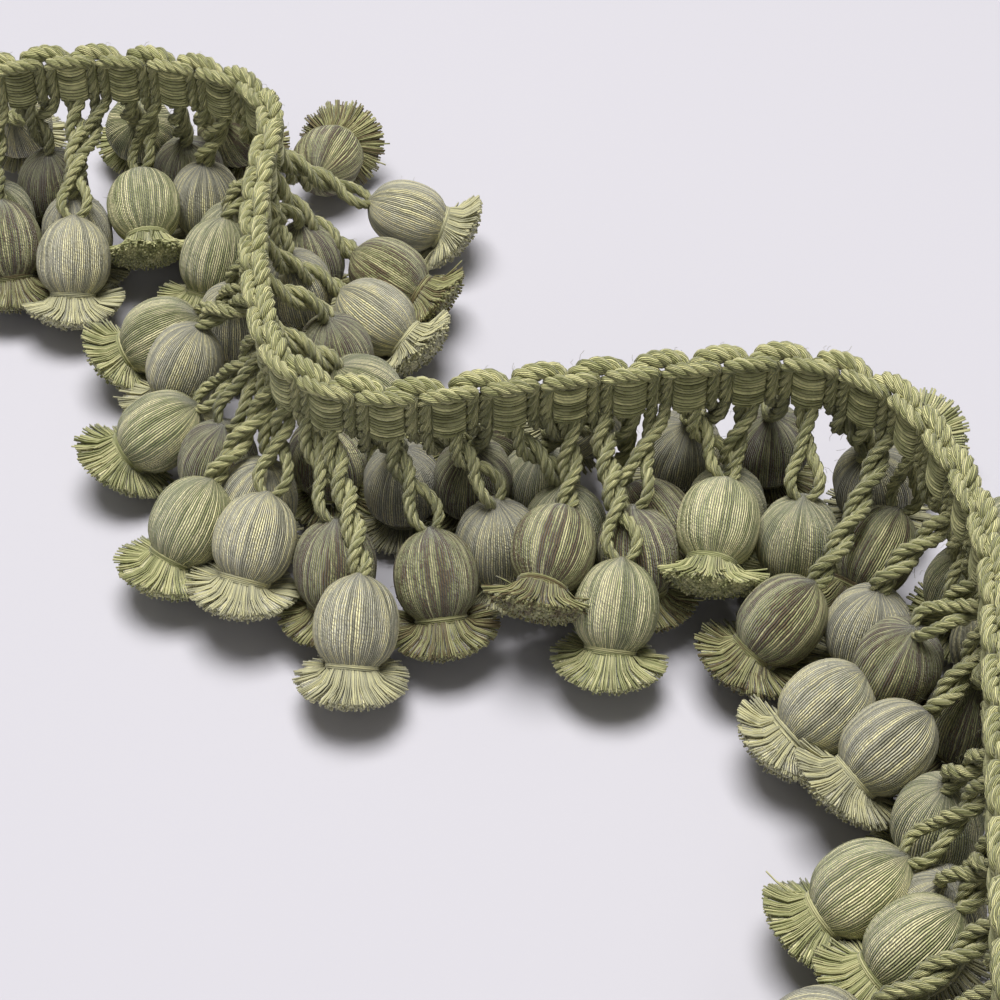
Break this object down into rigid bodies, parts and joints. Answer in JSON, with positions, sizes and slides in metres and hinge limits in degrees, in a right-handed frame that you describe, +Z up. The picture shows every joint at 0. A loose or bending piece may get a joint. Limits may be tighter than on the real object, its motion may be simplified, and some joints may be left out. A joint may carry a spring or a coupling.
{
  "type": "tassel fringe trim",
  "caption": "Onion tassel fringe: a woven cord heading stood on edge in an S, with wound ball tassels on twisted hangers splayed to both sides and resting on the surface.",
  "frame": {"origin": "on the resting surface, under the middle of the whole trim's bounding box", "axes": "+Z up, away from the resting surface; +Y towards the far end of the S and -Y towards its near end; +X to the right seen from the near end"},
  "size_m": [0.345, 0.4038, 0.0651],
  "materials": {
    "heading_cord": "matt heathered cotton cord, straw and mid green",
    "yarn_pale": "soft sheen, silver grey and straw threads",
    "yarn_green": "soft sheen, mid and light green threads",
    "yarn_brown": "soft sheen, umber and green threads"
  },
  "bodies": {
    "root": {"front_cord": "heading_cord", "heading": "heading_cord", "scallop_cord": "heading_cord", "tassel_01_green": "yarn_green", "tassel_02_brown": "yarn_brown", "tassel_03_brown": "yarn_brown", "tassel_04_pale": "yarn_pale", "tassel_05_pale": "yarn_pale", "tassel_06_green": "yarn_green", "tassel_07_green": "yarn_green", "tassel_08_pale": "yarn_pale", "tassel_09_brown": "yarn_brown", "tassel_10_brown": "yarn_brown", "tassel_11_green": "yarn_green", "tassel_12_pale": "yarn_pale", "tassel_13_brown": "yarn_brown", "tassel_14_pale": "yarn_pale", "tassel_15_pale": "yarn_pale", "tassel_16_brown": "yarn_brown", "tassel_17_pale": "yarn_pale", "tassel_18_green": "yarn_green", "tassel_19_green": "yarn_green", "tassel_20_brown": "yarn_brown", "tassel_21_brown": "yarn_brown", "tassel_22_green": "yarn_green", "tassel_23_pale": "yarn_pale", "tassel_24_pale": "yarn_pale", "tassel_25_brown": "yarn_brown", "tassel_26_pale": "yarn_pale", "tassel_27_brown": "yarn_brown", "tassel_28_brown": "yarn_brown", "tassel_29_pale": "yarn_pale", "tassel_30_brown": "yarn_brown", "tassel_31_green": "yarn_green", "tassel_32_green": "yarn_green", "tassel_33_brown": "yarn_brown", "tassel_34_pale": "yarn_pale", "tassel_35_green": "yarn_green", "tassel_36_brown": "yarn_brown", "tassel_37_green": "yarn_green", "tassel_38_green": "yarn_green", "tassel_39_brown": "yarn_brown", "tassel_40_green": "yarn_green", "tassel_41_pale": "yarn_pale", "tassel_42_brown": "yarn_brown", "tassel_43_pale": "yarn_pale", "tassel_44_green": "yarn_green", "tassel_45_pale": "yarn_pale", "tassel_46_brown": "yarn_brown", "tassel_47_pale": "yarn_pale", "tassel_48_green": "yarn_green", "tassel_49_green": "yarn_green", "tassel_50_brown": "yarn_brown", "tassel_51_green": "yarn_green", "tassel_52_green": "yarn_green", "tassel_53_pale": "yarn_pale", "tassel_54_brown": "yarn_brown", "tassel_55_pale": "yarn_pale", "tassel_56_green": "yarn_green", "tassel_57_brown": "yarn_brown"}
  },
  "joints": []
}
